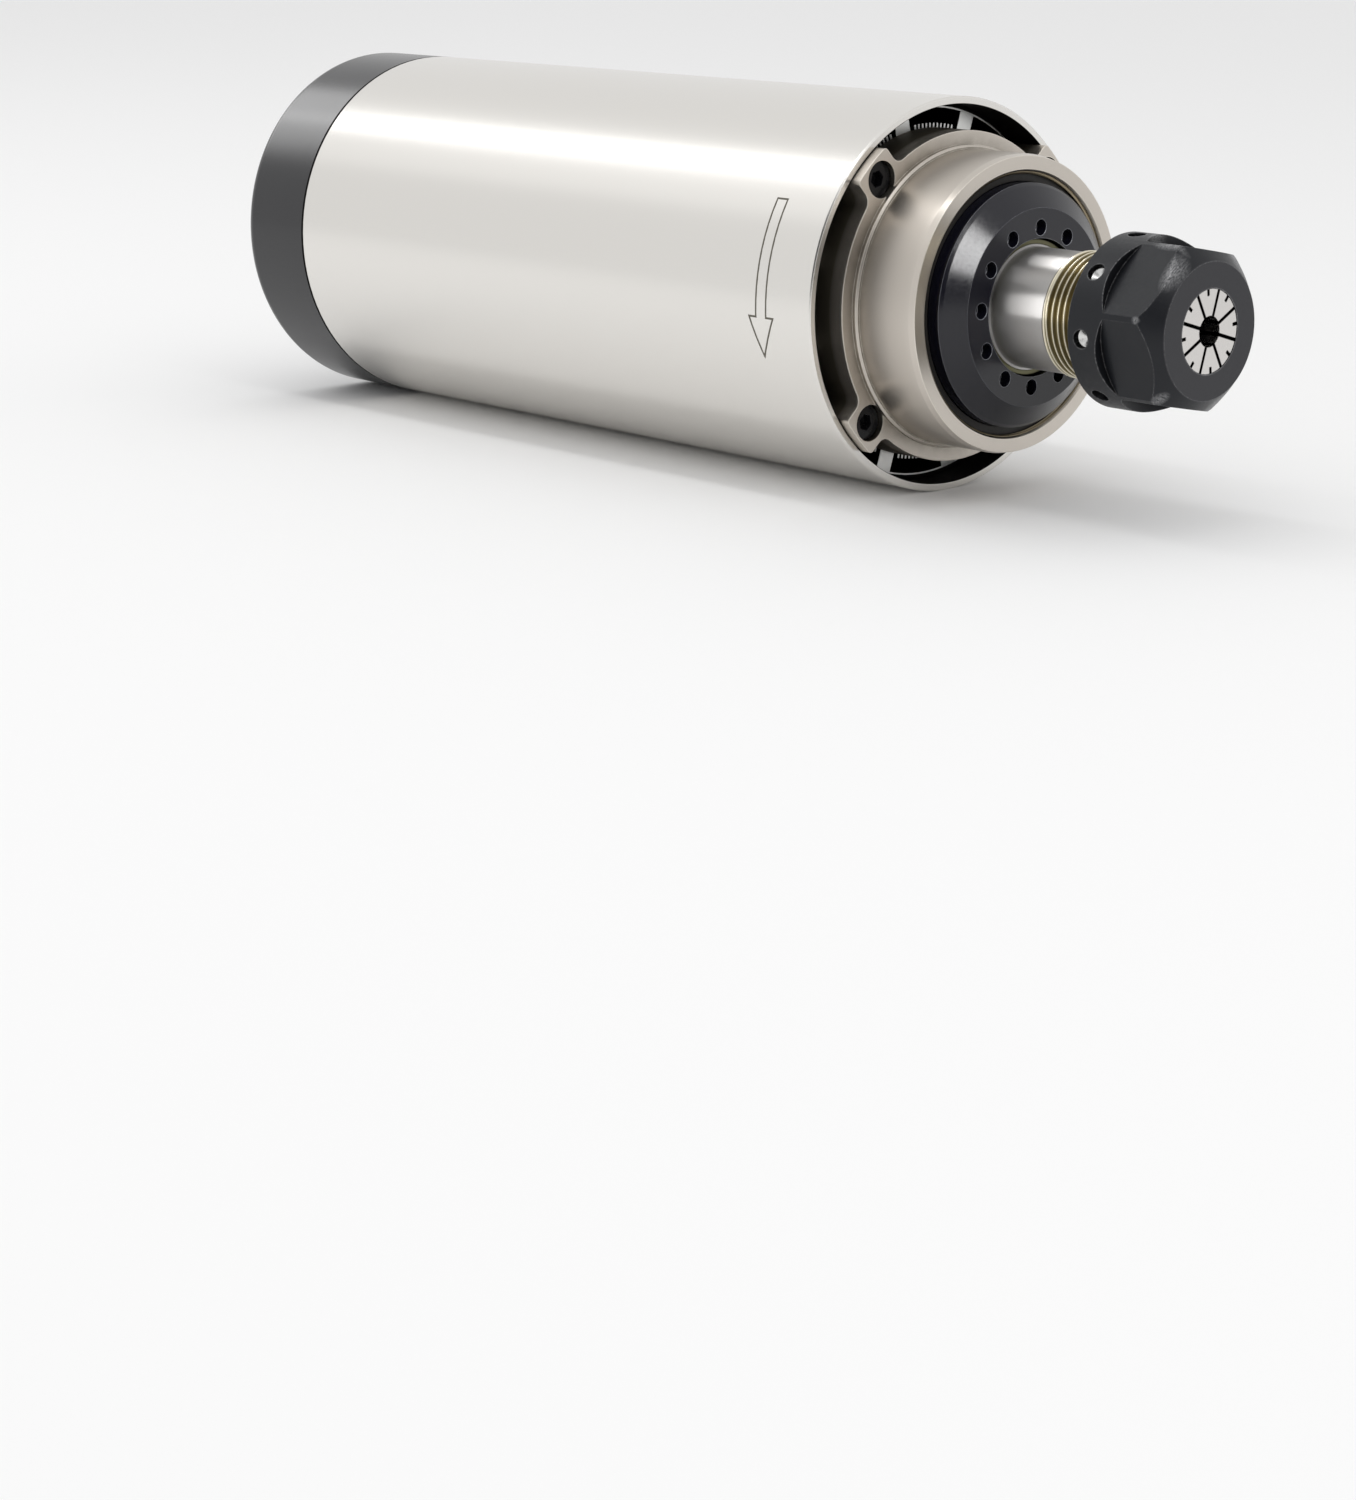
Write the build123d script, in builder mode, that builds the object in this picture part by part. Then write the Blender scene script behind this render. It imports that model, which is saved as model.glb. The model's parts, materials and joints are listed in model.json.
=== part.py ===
from build123d import *
from math import cos, radians, sin, tan
import os

# Air-cooled motor spindle, 80 mm body, with a collet nose.
# Millimetres. +X runs along the shaft towards the nose, +Z is up, and the
# origin is on the axis in the plane of the sleeve's front rim.

os.makedirs("parts", exist_ok=True)

# Body
body_radius = 40.0
body_length = 195.0
cap_length = 23.5
sleeve_wall = 1.5
rim_chamfer = 0.3
slide_clearance = 0.05
running_clearance = 0.3
clock_angle = -2.6

# Finned jacket inside the sleeve
skin_wall = 1.1
channel_depth = 4.05
tube_wall = 3.3
rib_count = 12
rib_width = 4.0
boss_width = 9.0
fin_count = 11
fin_pitch = 1.8
fin_width = 0.45
fin_height = 1.0
rear_room = 47.5

# Front flange and nose
flange_face = 2.3
flange_thickness = 9.8
flange_step = 0.1
ear_count = 4
ear_width = 10.0
ear_reach_gap = 0.2
ear_root_fillet = 2.4
ear_corner_fillet = 0.9
bead_setback = 2.8
bead_height = 1.2
bead_step = 0.8
nose_face = 18.4
nose_wall = 3.4
nose_chamfer = 0.4
nose_edge_length = 1.4
nose_edge_depth = 0.3
hub_length = 14.5
hub_lip = 3.0
spigot_clearance = 0.1

# Socket-head screws in the ears
ear_screw_setback = 4.3
screw_core = 1.65
screw_hole = 2.2
head_radius = 3.5
head_height = 4.0
head_clearance = 0.2
head_sink = 1.3
hex_socket = 1.75
hex_depth_share = 0.55
screw_length = 16.0

# Front bearings, 25 x 47 x 12 in a spaced pair
front_bearing_bore = 12.5
bearing_shoulder = 2.9
front_bearing_width = 12.0
front_bearing_end = 10.0
front_spacer = 5.0
race_wall = 2.4
spacer_wall = 2.0

# Rear bearings, 17 x 35 x 10 side by side
rear_bearing_bore = 8.5
rear_bearing_radius = 17.5
rear_bearing_width = 10.0
rear_bearing_setback = 3.5
rear_race_wall = 2.0
rear_bearing_gap = 0.2

# Bearing balls and cages
ball_gap = 0.03
ball_count = 8
pocket_sides = 8
cage_wall = 1.2
pocket_gap = 0.15
cage_margin = 1.2

# Stator and rotor
front_winding_gap = 7.0
rear_winding_gap = 10.5
air_gap = 0.4
rotor_radius = 16.6
slot_count = 18
slot_width = 3.0
slot_depth = 6.5
slot_mouth = 1.2
wire_gap = 0.1
end_turn_length = 11.0
end_turn_inset = 1.0
end_turn_margin = 3.0
end_turn_chamfer = 2.2
end_ring_width = 4.0

# Front cap, the ring nut that holds the bearings
cap_face = 23.2
cap_bevel_start = 20.3
cap_wall_gap = 2.1
cap_edge_break = 0.6
cap_bevel_depth = 4.0
cap_thread_clearance = 0.1
cap_thread_length = 5.6
cap_bore = 13.7
cap_front_wall = 4.4
cap_wall = 3.7
pin_hole_count = 12
pin_hole_circle = 15.8
pin_hole_radius = 1.6
pin_hole_depth = 2.6
seal_width = 1.3
seal_gap = 0.1

# Shaft
journal_radius = 12.0
thread_radius = 12.5
thread_start = 35.6
thread_relief = 0.7
shaft_front = 59.5
shoulder_radius = 15.4
rotor_seat = 12.6
locknut_seat = 8.0
fan_seat = 5.0
rotor_seat_margin = 1.2
taper_angle = 8.0
taper_clearance = 0.04
taper_depth = 27.5
drawbar_bore = 6.0
drawbar_depth = 18.0
drawbar_point = 3.6

# Labyrinth ring on the shaft
labyrinth_gap = 0.6
labyrinth_flange_width = 6.5
labyrinth_lead = 3.0
labyrinth_lead_length = 1.0
labyrinth_face = 22.0

# Collet
collet_face = 67.2
collet_length = 31.5
collet_rim = 8.1
collet_cone = 30.0
collet_cone_length = 2.6
collet_groove_width = 2.7
collet_groove_depth = 0.8
collet_radius = 10.5
collet_bore = 3.0
collet_slots = 8
collet_slot_width = 0.6
collet_slot_angle = -16.4
collet_web = 5.5
notch_length = 1.3
notch_depth = 4.0

# Collet nut
nut_rear = 46.0
nut_proud = 0.1
nut_relief = 1.0
nut_radius = 17.0
nut_front_face = 13.2
nut_bevel = 3.8
nut_rear_chamfer = 0.8
nut_flats = 6
nut_flat_radius = 15.0
nut_flat_start = 53.3
nut_cutter_radius = 18.0
nut_hex_angle = 19.2
nut_thread_gap = 0.06
nut_cone_gap = 0.04
nut_lip_width = 1.2
nut_lip_gap = 0.35
dimple_count = 8
dimple_radius = 1.8
dimple_depth = 2.4
dimple_place = 4.0
dimple_angle = 140.8

# Rear end bell and its bearing cover
bell_thickness = 6.0
bell_spigot = 4.0
bell_spigot_wall = 2.9
bell_hub_wall = 4.5
bell_seat_lip = 2.5
bell_bore_lip = 2.0
cover_thickness = 3.0
cover_bore_gap = 0.5
cover_screw_count = 3
cover_screw_radius = 1.25
cover_hex_socket = 1.0
cover_screw_length = 9.0
cover_head_radius = 2.2
cover_head_height = 1.7
spring_height = 1.5
spring_width = 2.95
spring_thickness = 0.7
clamp_sleeve_wall = 2.0
clamp_sleeve_proud = 1.0
locknut_width = 5.0
locknut_radius = 13.0
locknut_slots = 4
locknut_slot_width = 4.0
locknut_slot_depth = 1.6

# Rear cap with its air grille
cap_spigot = 6.0
rear_cap_wall = 2.6
cap_plate = 3.0
cap_edge_fillet = 3.2
grille_slots = 24
grille_slot_width = 2.6
grille_inner = 14.0
grille_margin = 0.4
post_radius = 3.6
rear_screw_head = 3.3
rear_screw_sink = 2.0
rear_screw_set = 0.2
rear_screw_grip = 6.0

# Cooling fan
fan_blades = 9
fan_gap = 1.5
fan_width = 11.0
fan_hub_radius = 11.0
fan_tip_gap = 1.0
fan_blade_thickness = 1.2
fan_blade_root = 1.0
fan_blade_angle = 38.0
fan_screw_head = 4.5
fan_screw_height = 2.0
fan_screw_edge = 1.0

# Power socket in the rear plate
socket_radius = 8.0
socket_bore = 6.6
socket_flange = 10.5
socket_flange_height = 2.0
socket_reach = 9.0
socket_inside = 3.0
socket_floor = 0.5
socket_pin_count = 4
socket_pin_circle = 3.3
socket_pin_radius = 0.8
socket_pin_reach = 4.0
socket_nut_height = 2.2
socket_nut_radius = 10.0

# Places and fits worked out from the sizes above
sleeve_bore = body_radius - sleeve_wall
sleeve_length = body_length - cap_length
jacket_radius = sleeve_bore - slide_clearance
skin_bore = jacket_radius - skin_wall
tube_radius = skin_bore - channel_depth
stator_radius = tube_radius - tube_wall
flange_radius = tube_radius + flange_step
bead_radius = flange_radius - bead_setback
nose_radius = bead_radius - bead_step
nose_bore = nose_radius - nose_wall
front_bearing_radius = nose_bore - bearing_shoulder
cap_wall_radius = nose_bore - cap_wall_gap
cap_bevel_radius = cap_wall_radius - cap_edge_break
cap_face_radius = cap_bevel_radius - cap_bevel_depth
cap_room_radius = cap_wall_radius - cap_wall
labyrinth_flange = cap_room_radius - labyrinth_gap
jacket_front = flange_face - flange_thickness
jacket_rear = rear_room - body_length
ear_angle = 45.0 + clock_angle
ear_radius = sleeve_bore - ear_reach_gap
ear_screw_circle = ear_radius - ear_screw_setback
head_top = flange_face - head_sink
head_seat = head_top - head_height
front_bearing_rear = front_bearing_end - 2 * front_bearing_width - front_spacer
hub_rear = jacket_front - hub_length
bell_front = jacket_rear
bell_rear = bell_front - bell_thickness
rear_bearing_front = bell_front + rear_bearing_setback
bell_hub_front = rear_bearing_front + bell_seat_lip
bell_hub_radius = rear_bearing_radius + bell_hub_wall
core_front = hub_rear - front_winding_gap - end_turn_length
core_rear = bell_hub_front + rear_winding_gap + end_turn_length
core_bore = rotor_radius + air_gap
end_turn_inner = core_bore + end_turn_inset
end_turn_outer = stator_radius - end_turn_margin
rear_bearing_end = rear_bearing_front - 2 * rear_bearing_width - rear_bearing_gap
spring_rear = rear_bearing_end - spring_height
cover_rear = spring_rear - cover_thickness
clamp_sleeve_radius = rear_bearing_bore + clamp_sleeve_wall
locknut_front = cover_rear - clamp_sleeve_proud
locknut_rear = locknut_front - locknut_width
cap_joint = -sleeve_length
cap_rear = -body_length
plate_front = cap_rear + cap_plate
fan_front = locknut_rear - fan_gap
fan_rear = fan_front - fan_width
shaft_rear = fan_rear + fan_screw_height
taper_slope = tan(radians(taper_angle))
collet_rear = collet_face - collet_length
collet_cone_end = collet_face - collet_cone_length
collet_cone_radius = collet_rim + collet_cone_length * tan(radians(collet_cone))
collet_shoulder = collet_cone_end - collet_groove_width
groove_radius = collet_cone_radius - collet_groove_depth
collet_tail_radius = collet_radius - (collet_shoulder - collet_rear) * taper_slope
fan_radius = ear_screw_circle - post_radius - fan_tip_gap
grille_outer = ear_screw_circle - post_radius - grille_margin


def save(piece, name):
    """Label a finished piece and write it under its own name."""
    piece.part.label = name
    export_step(piece.part, f"parts/{name}.step")


def across(x):
    """The plane square to the axis at x, with +Y to the right and +Z up."""
    return Plane.YZ.offset(x)


def turn(outline, mode=Mode.ADD):
    """Turn an outline of (x, radius) points about the axis, in the open part."""
    with BuildSketch() as profile:
        with BuildLine():
            Polyline(*outline, close=True)
        make_face()
    revolve(profile.sketch, axis=Axis.X, mode=mode)


def turned(name, outline):
    """A piece that is only turned, written under its name."""
    with BuildPart() as piece:
        turn(outline)
    save(piece, name)


def tube(x_rear, x_front, inner, outer):
    """The outline of a plain ring between two places on the axis."""
    return [(x_rear, inner), (x_rear, outer), (x_front, outer), (x_front, inner)]


def eared_disc(x, thickness, disc_radius):
    """A disc with four ears on the screw circle, forwards from x."""
    with BuildSketch(across(x)) as disc:
        with PolarLocations(ear_radius / 2, ear_count, start_angle=ear_angle):
            Rectangle(ear_radius + ear_width, ear_width)
        Circle(ear_radius, mode=Mode.INTERSECT)
        Circle(disc_radius)
        fillet(disc.vertices().group_by(SortBy.DISTANCE)[0], ear_root_fillet)
        fillet(disc.vertices().group_by(SortBy.DISTANCE)[-1], ear_corner_fillet)
    extrude(disc.sketch, amount=thickness)


def cap_screws(name, head_x, direction, head, height, shank, length, circle, count, start, hexagon):
    """Socket-head screws on a circle, with their heads' tops at head_x."""
    with BuildPart() as screws:
        with BuildSketch(across(head_x)):
            with PolarLocations(circle, count, start_angle=start):
                Circle(head)
        extrude(amount=-direction * height)
        with BuildSketch(across(head_x - direction * height)):
            with PolarLocations(circle, count, start_angle=start):
                Circle(shank)
        extrude(amount=-direction * length)
        with BuildSketch(across(head_x)):
            with PolarLocations(circle, count, start_angle=start):
                RegularPolygon(hexagon, 6)
        extrude(amount=-direction * height * hex_depth_share, mode=Mode.SUBTRACT)
    save(screws, name)


def ball_rows(name, places, width, inner_race, outer_race):
    """The balls of two bearings, on their pitch circle between the races."""
    ball = (outer_race - inner_race) / 2 - ball_gap
    pitch = (outer_race + inner_race) / 2
    with BuildPart() as balls:
        for place in places:
            with Locations(across(place + width / 2)):
                with PolarLocations(pitch, ball_count):
                    Sphere(ball)
    save(balls, name)


def cages(name, places, width, inner_race, outer_race):
    """Two cages: thin rings with a round pocket for each ball."""
    ball = (outer_race - inner_race) / 2 - ball_gap
    pitch = (outer_race + inner_race) / 2
    with BuildPart() as rings:
        for place in places:
            turn(tube(place + cage_margin, place + width - cage_margin,
                      pitch - cage_wall / 2, pitch + cage_wall / 2))
            for k in range(ball_count):
                angle = radians(k * 360 / ball_count)
                outward = Vector(0, cos(angle), sin(angle))
                centre = Vector(place + width / 2, 0, 0)
                with BuildSketch(Plane(origin=centre, x_dir=(1, 0, 0), z_dir=outward)) as pocket:
                    RegularPolygon(ball + pocket_gap, pocket_sides, major_radius=False)
                extrude(pocket.sketch, amount=outer_race, mode=Mode.SUBTRACT)
    save(rings, name)


# Outer sleeve: a thin stainless tube with a broken outer edge at the rim
turned("outer_sleeve", [
    (cap_joint, sleeve_bore),
    (cap_joint, body_radius),
    (-rim_chamfer, body_radius),
    (0, body_radius - rim_chamfer),
    (0, sleeve_bore),
])

# Finned jacket: an extrusion with an outer skin, twelve ribs and rows of small
# fins on the inner tube; the air runs between the ribs
with BuildPart() as jacket:
    with BuildSketch(across(jacket_rear)):
        Circle(jacket_radius)
        Circle(skin_bore, mode=Mode.SUBTRACT)
        rib_span = (skin_bore + tube_radius) / 2
        rib_depth = skin_bore - tube_radius + skin_wall
        with PolarLocations(rib_span, rib_count, start_angle=ear_angle):
            Rectangle(rib_depth, rib_width)
        with PolarLocations(rib_span, ear_count, start_angle=ear_angle):
            Rectangle(rib_depth, boss_width)
        Circle(tube_radius)
        for gap in range(rib_count):
            middle = ear_angle + (gap + 0.5) * 360 / rib_count
            first = middle - (fin_count - 1) / 2 * fin_pitch
            with PolarLocations(tube_radius, fin_count, start_angle=first,
                                angular_range=(fin_count - 1) * fin_pitch, endpoint=True):
                Rectangle(2 * fin_height, fin_width)
        Circle(stator_radius, mode=Mode.SUBTRACT)
    extrude(amount=jacket_front - jacket_rear)
    for end, way in ((jacket_front, -1), (jacket_rear, 1)):
        with BuildSketch(across(end)):
            with PolarLocations(ear_screw_circle, ear_count, start_angle=ear_angle):
                Circle(screw_core)
        extrude(amount=way * screw_length, mode=Mode.SUBTRACT)
save(jacket, "finned_jacket")

# Front flange: eared ring, raised bead, neck and bearing hub in one casting
with BuildPart() as flange:
    eared_disc(jacket_front, flange_thickness, flange_radius)
    spigot_radius = stator_radius - spigot_clearance
    turn([
        (hub_rear, front_bearing_radius - hub_lip),
        (hub_rear, spigot_radius),
        (jacket_front, spigot_radius),
        (flange_face, spigot_radius),
        (flange_face, bead_radius),
        (flange_face + bead_height - nose_chamfer, bead_radius),
        (flange_face + bead_height, bead_radius - nose_chamfer),
        (flange_face + bead_height, nose_radius),
        (nose_face - nose_edge_length, nose_radius),
        (nose_face, nose_radius - nose_edge_depth),
        (nose_face, front_bearing_radius - hub_lip),
    ])
    turn([
        (nose_face, 0),
        (nose_face, nose_bore + nose_chamfer),
        (nose_face - nose_chamfer, nose_bore),
        (front_bearing_end, nose_bore),
        (front_bearing_end, front_bearing_radius),
        (front_bearing_rear, front_bearing_radius),
        (front_bearing_rear, front_bearing_radius - hub_lip),
        (hub_rear, front_bearing_radius - hub_lip),
        (hub_rear, 0),
    ], Mode.SUBTRACT)
    with BuildSketch(across(flange_face)):
        with PolarLocations(ear_screw_circle, ear_count, start_angle=ear_angle):
            Circle(head_radius + head_clearance)
    extrude(amount=head_seat - flange_face, mode=Mode.SUBTRACT)
    with BuildSketch(across(head_seat)):
        with PolarLocations(ear_screw_circle, ear_count, start_angle=ear_angle):
            Circle(screw_hole)
    extrude(amount=jacket_front - head_seat, mode=Mode.SUBTRACT)
save(flange, "front_flange")

cap_screws("flange_screws", head_top, 1, head_radius, head_height, screw_core,
           screw_length, ear_screw_circle, ear_count, ear_angle, hex_socket)

# Front bearing rings and their spacers
front_places = (front_bearing_end - front_bearing_width, front_bearing_rear)
with BuildPart() as front_outer:
    for place in front_places:
        turn(tube(place, place + front_bearing_width,
                  front_bearing_radius - race_wall, front_bearing_radius))
save(front_outer, "front_bearing_outer_rings")

with BuildPart() as front_inner:
    for place in front_places:
        turn(tube(place, place + front_bearing_width,
                  front_bearing_bore, front_bearing_bore + race_wall))
save(front_inner, "front_bearing_inner_rings")

front_inner_race = front_bearing_bore + race_wall
front_outer_race = front_bearing_radius - race_wall
ball_rows("front_bearing_balls", front_places, front_bearing_width,
          front_inner_race, front_outer_race)
cages("front_bearing_cages", front_places, front_bearing_width,
      front_inner_race, front_outer_race)

spacer_rear = front_bearing_rear + front_bearing_width
spacer_front = spacer_rear + front_spacer
turned("front_outer_spacer", tube(spacer_rear, spacer_front,
                                  front_bearing_radius - spacer_wall, front_bearing_radius))
turned("front_inner_spacer", tube(spacer_rear, spacer_front,
                                  front_bearing_bore, front_bearing_bore + spacer_wall))

# Front cap: a bevelled ring nut with pin holes, hollow behind its front wall
with BuildPart() as front_cap:
    cap_thread = nose_bore - cap_thread_clearance
    cap_step = front_bearing_end + cap_thread_length
    turn([
        (front_bearing_end, cap_room_radius),
        (front_bearing_end, cap_thread),
        (cap_step, cap_thread),
        (cap_step, cap_wall_radius),
        (cap_bevel_start - (cap_wall_radius - cap_bevel_radius), cap_wall_radius),
        (cap_bevel_start, cap_bevel_radius),
        (cap_face, cap_face_radius),
        (cap_face, cap_bore),
        (cap_face - cap_front_wall, cap_bore),
        (cap_face - cap_front_wall, cap_room_radius),
    ])
    with BuildSketch(across(cap_face)):
        with PolarLocations(pin_hole_circle, pin_hole_count, start_angle=clock_angle):
            Circle(pin_hole_radius)
    extrude(amount=-pin_hole_depth, mode=Mode.SUBTRACT)
save(front_cap, "front_cap")

turned("nose_seal", tube(cap_step, cap_step + seal_width,
                         cap_wall_radius + seal_gap, nose_bore - seal_gap))

# Labyrinth ring: clamps the inner rings and runs inside the front cap
turned("labyrinth_ring", [
    (front_bearing_end, front_bearing_bore),
    (front_bearing_end, labyrinth_flange - labyrinth_lead),
    (front_bearing_end + labyrinth_lead_length, labyrinth_flange),
    (front_bearing_end + labyrinth_flange_width, labyrinth_flange),
    (front_bearing_end + labyrinth_flange_width, cap_bore - running_clearance),
    (labyrinth_face, cap_bore - running_clearance),
    (labyrinth_face, front_bearing_bore),
])

# Stator core: laminations with slots open to the bore
with BuildPart() as stator:
    with BuildSketch(across(core_rear)):
        Circle(stator_radius)
        Circle(core_bore, mode=Mode.SUBTRACT)
        slot_middle = core_bore + slot_mouth + slot_depth / 2
        with PolarLocations(slot_middle, slot_count):
            Rectangle(slot_depth, slot_width, mode=Mode.SUBTRACT)
        with PolarLocations(core_bore + slot_mouth / 2, slot_count):
            Rectangle(2 * slot_mouth, slot_mouth, mode=Mode.SUBTRACT)
    extrude(amount=core_front - core_rear)
save(stator, "stator_core")

# Stator winding: a copper bar in each slot and an end turn at both ends
with BuildPart() as winding:
    with BuildSketch(across(core_rear)):
        with PolarLocations(slot_middle, slot_count):
            Rectangle(slot_depth - 2 * wire_gap, slot_width - 2 * wire_gap)
    extrude(amount=core_front - core_rear)
    for end, way in ((core_front, 1), (core_rear, -1)):
        with BuildSketch() as bundle:
            with Locations((end + way * end_turn_length / 2, (end_turn_inner + end_turn_outer) / 2)):
                Rectangle(end_turn_length, end_turn_outer - end_turn_inner)
            chamfer(bundle.vertices(), end_turn_chamfer)
        revolve(axis=Axis.X)
save(winding, "stator_winding")

# Rotor: laminations with a cast ring at each end
turned("rotor_core", tube(core_rear, core_front, rotor_seat, rotor_radius))
with BuildPart() as rings:
    for place in (core_front, core_rear - end_ring_width):
        turn(tube(place, place + end_ring_width, rotor_seat, rotor_radius))
save(rings, "rotor_end_rings")

# Rear end bell: carries the rear bearings and bolts to the jacket's ribs
with BuildPart() as bell:
    bell_spigot_radius = stator_radius - spigot_clearance
    eared_disc(bell_rear, bell_thickness, tube_radius)
    turn(tube(bell_rear, bell_front + bell_spigot,
              bell_spigot_radius - bell_spigot_wall, bell_spigot_radius))
    turn(tube(spring_rear, bell_hub_front, 0, bell_hub_radius))
    turn([
        (spring_rear, 0),
        (spring_rear, rear_bearing_radius),
        (rear_bearing_front, rear_bearing_radius),
        (rear_bearing_front, rear_bearing_radius - bell_bore_lip),
        (bell_hub_front, rear_bearing_radius - bell_bore_lip),
        (bell_hub_front, 0),
    ], Mode.SUBTRACT)
    with BuildSketch(across(bell_rear)):
        with PolarLocations(ear_screw_circle, ear_count, start_angle=ear_angle):
            Circle(screw_hole)
    extrude(amount=bell_thickness, mode=Mode.SUBTRACT)
    with BuildSketch(across(spring_rear)):
        cover_screw_circle = rear_bearing_radius + bell_hub_wall / 2
        with PolarLocations(cover_screw_circle, cover_screw_count, start_angle=clock_angle):
            Circle(cover_screw_radius)
    extrude(amount=cover_screw_length - cover_thickness, mode=Mode.SUBTRACT)
save(bell, "rear_end_bell")

# Rear bearing rings, balls and cages
rear_places = (rear_bearing_end, rear_bearing_front - rear_bearing_width)
with BuildPart() as rear_outer:
    for place in rear_places:
        turn(tube(place, place + rear_bearing_width,
                  rear_bearing_radius - rear_race_wall, rear_bearing_radius))
save(rear_outer, "rear_bearing_outer_rings")

with BuildPart() as rear_inner:
    for place in rear_places:
        turn(tube(place, place + rear_bearing_width,
                  rear_bearing_bore, rear_bearing_bore + rear_race_wall))
save(rear_inner, "rear_bearing_inner_rings")

rear_inner_race = rear_bearing_bore + rear_race_wall
rear_outer_race = rear_bearing_radius - rear_race_wall
ball_rows("rear_bearing_balls", rear_places, rear_bearing_width,
          rear_inner_race, rear_outer_race)
cages("rear_bearing_cages", rear_places, rear_bearing_width,
      rear_inner_race, rear_outer_race)

# Disc spring that preloads the rear outer rings
spring_outer = rear_bearing_radius - slide_clearance
spring_inner = spring_outer - spring_width
turned("preload_spring", [
    (spring_rear, spring_inner),
    (spring_rear + spring_thickness, spring_inner),
    (rear_bearing_end, spring_outer),
    (rear_bearing_end - spring_thickness, spring_outer),
])

# Cover over the rear bearings, with its screws
cover_bore = clamp_sleeve_radius + cover_bore_gap
with BuildPart() as cover:
    turn(tube(cover_rear, spring_rear, cover_bore, bell_hub_radius))
    with BuildSketch(across(cover_rear)):
        with PolarLocations(cover_screw_circle, cover_screw_count, start_angle=clock_angle):
            Circle(cover_screw_radius)
    extrude(amount=cover_thickness, mode=Mode.SUBTRACT)
save(cover, "rear_bearing_cover")

cap_screws("bearing_cover_screws", cover_rear - cover_head_height, -1, cover_head_radius,
           cover_head_height, cover_screw_radius, cover_screw_length, cover_screw_circle,
           cover_screw_count, clock_angle, cover_hex_socket)

# Clamp sleeve and slotted locknut behind the rear inner rings
turned("rear_clamp_sleeve", tube(locknut_front, rear_bearing_end,
                                 rear_bearing_bore, clamp_sleeve_radius))
with BuildPart() as locknut:
    turn(tube(locknut_rear, locknut_front, locknut_seat, locknut_radius))
    with BuildSketch(across(locknut_rear)):
        with PolarLocations(locknut_radius, locknut_slots):
            Rectangle(2 * locknut_slot_depth, locknut_slot_width)
    extrude(amount=locknut_width, mode=Mode.SUBTRACT)
save(locknut, "bearing_locknut")

# Shaft, hollow at the nose for the collet's taper and the tool's shank
taper_mouth = collet_radius - (collet_shoulder - shaft_front) * taper_slope + taper_clearance
taper_end = shaft_front - taper_depth
taper_end_radius = taper_mouth - taper_depth * taper_slope
turned("spindle_shaft", [
    (shaft_rear, 0),
    (shaft_rear, fan_seat),
    (fan_front, fan_seat),
    (fan_front, locknut_seat),
    (locknut_front, locknut_seat),
    (locknut_front, rear_bearing_bore),
    (rear_bearing_front, rear_bearing_bore),
    (rear_bearing_front, rear_bearing_bore + rear_race_wall),
    (core_rear - end_ring_width - rotor_seat_margin, rear_bearing_bore + rear_race_wall),
    (core_rear - end_ring_width - rotor_seat_margin, rotor_seat),
    (core_front + end_ring_width, rotor_seat),
    (core_front + end_ring_width, shoulder_radius),
    (front_bearing_rear, shoulder_radius),
    (front_bearing_rear, front_bearing_bore),
    (labyrinth_face, front_bearing_bore),
    (labyrinth_face, journal_radius),
    (thread_start, journal_radius),
    (thread_start + thread_relief, thread_radius),
    (shaft_front - thread_relief, thread_radius),
    (shaft_front, thread_radius - thread_relief),
    (shaft_front, taper_mouth),
    (taper_end, taper_end_radius),
    (taper_end, drawbar_bore),
    (taper_end - drawbar_depth, drawbar_bore),
    (taper_end - drawbar_depth - drawbar_point, 0),
])

# Collet: slots cut from the face and, between them, from the tail
with BuildPart() as collet:
    turn([
        (collet_rear, collet_bore),
        (collet_rear, collet_tail_radius),
        (collet_shoulder, collet_radius),
        (collet_shoulder, groove_radius),
        (collet_cone_end, groove_radius),
        (collet_cone_end, collet_cone_radius),
        (collet_face, collet_rim),
        (collet_face, collet_bore),
    ])
    slot_reach = 2 * collet_radius
    with BuildSketch(across(collet_face)):
        with PolarLocations(slot_reach / 2, collet_slots, start_angle=collet_slot_angle):
            Rectangle(slot_reach, collet_slot_width)
    extrude(amount=collet_web - collet_length, mode=Mode.SUBTRACT)
    tail_angle = collet_slot_angle + 180 / collet_slots
    with BuildSketch(across(collet_rear)):
        with PolarLocations(slot_reach / 2, collet_slots, start_angle=tail_angle):
            Rectangle(slot_reach, collet_slot_width)
    extrude(amount=collet_length - collet_web, mode=Mode.SUBTRACT)
    notch_inner = collet_rim - notch_length
    with BuildSketch(across(collet_face)):
        with PolarLocations(notch_inner + slot_reach / 2, collet_slots, start_angle=tail_angle):
            Rectangle(slot_reach, collet_slot_width)
    extrude(amount=-collet_web - notch_depth, mode=Mode.SUBTRACT)
save(collet, "collet")

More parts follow.
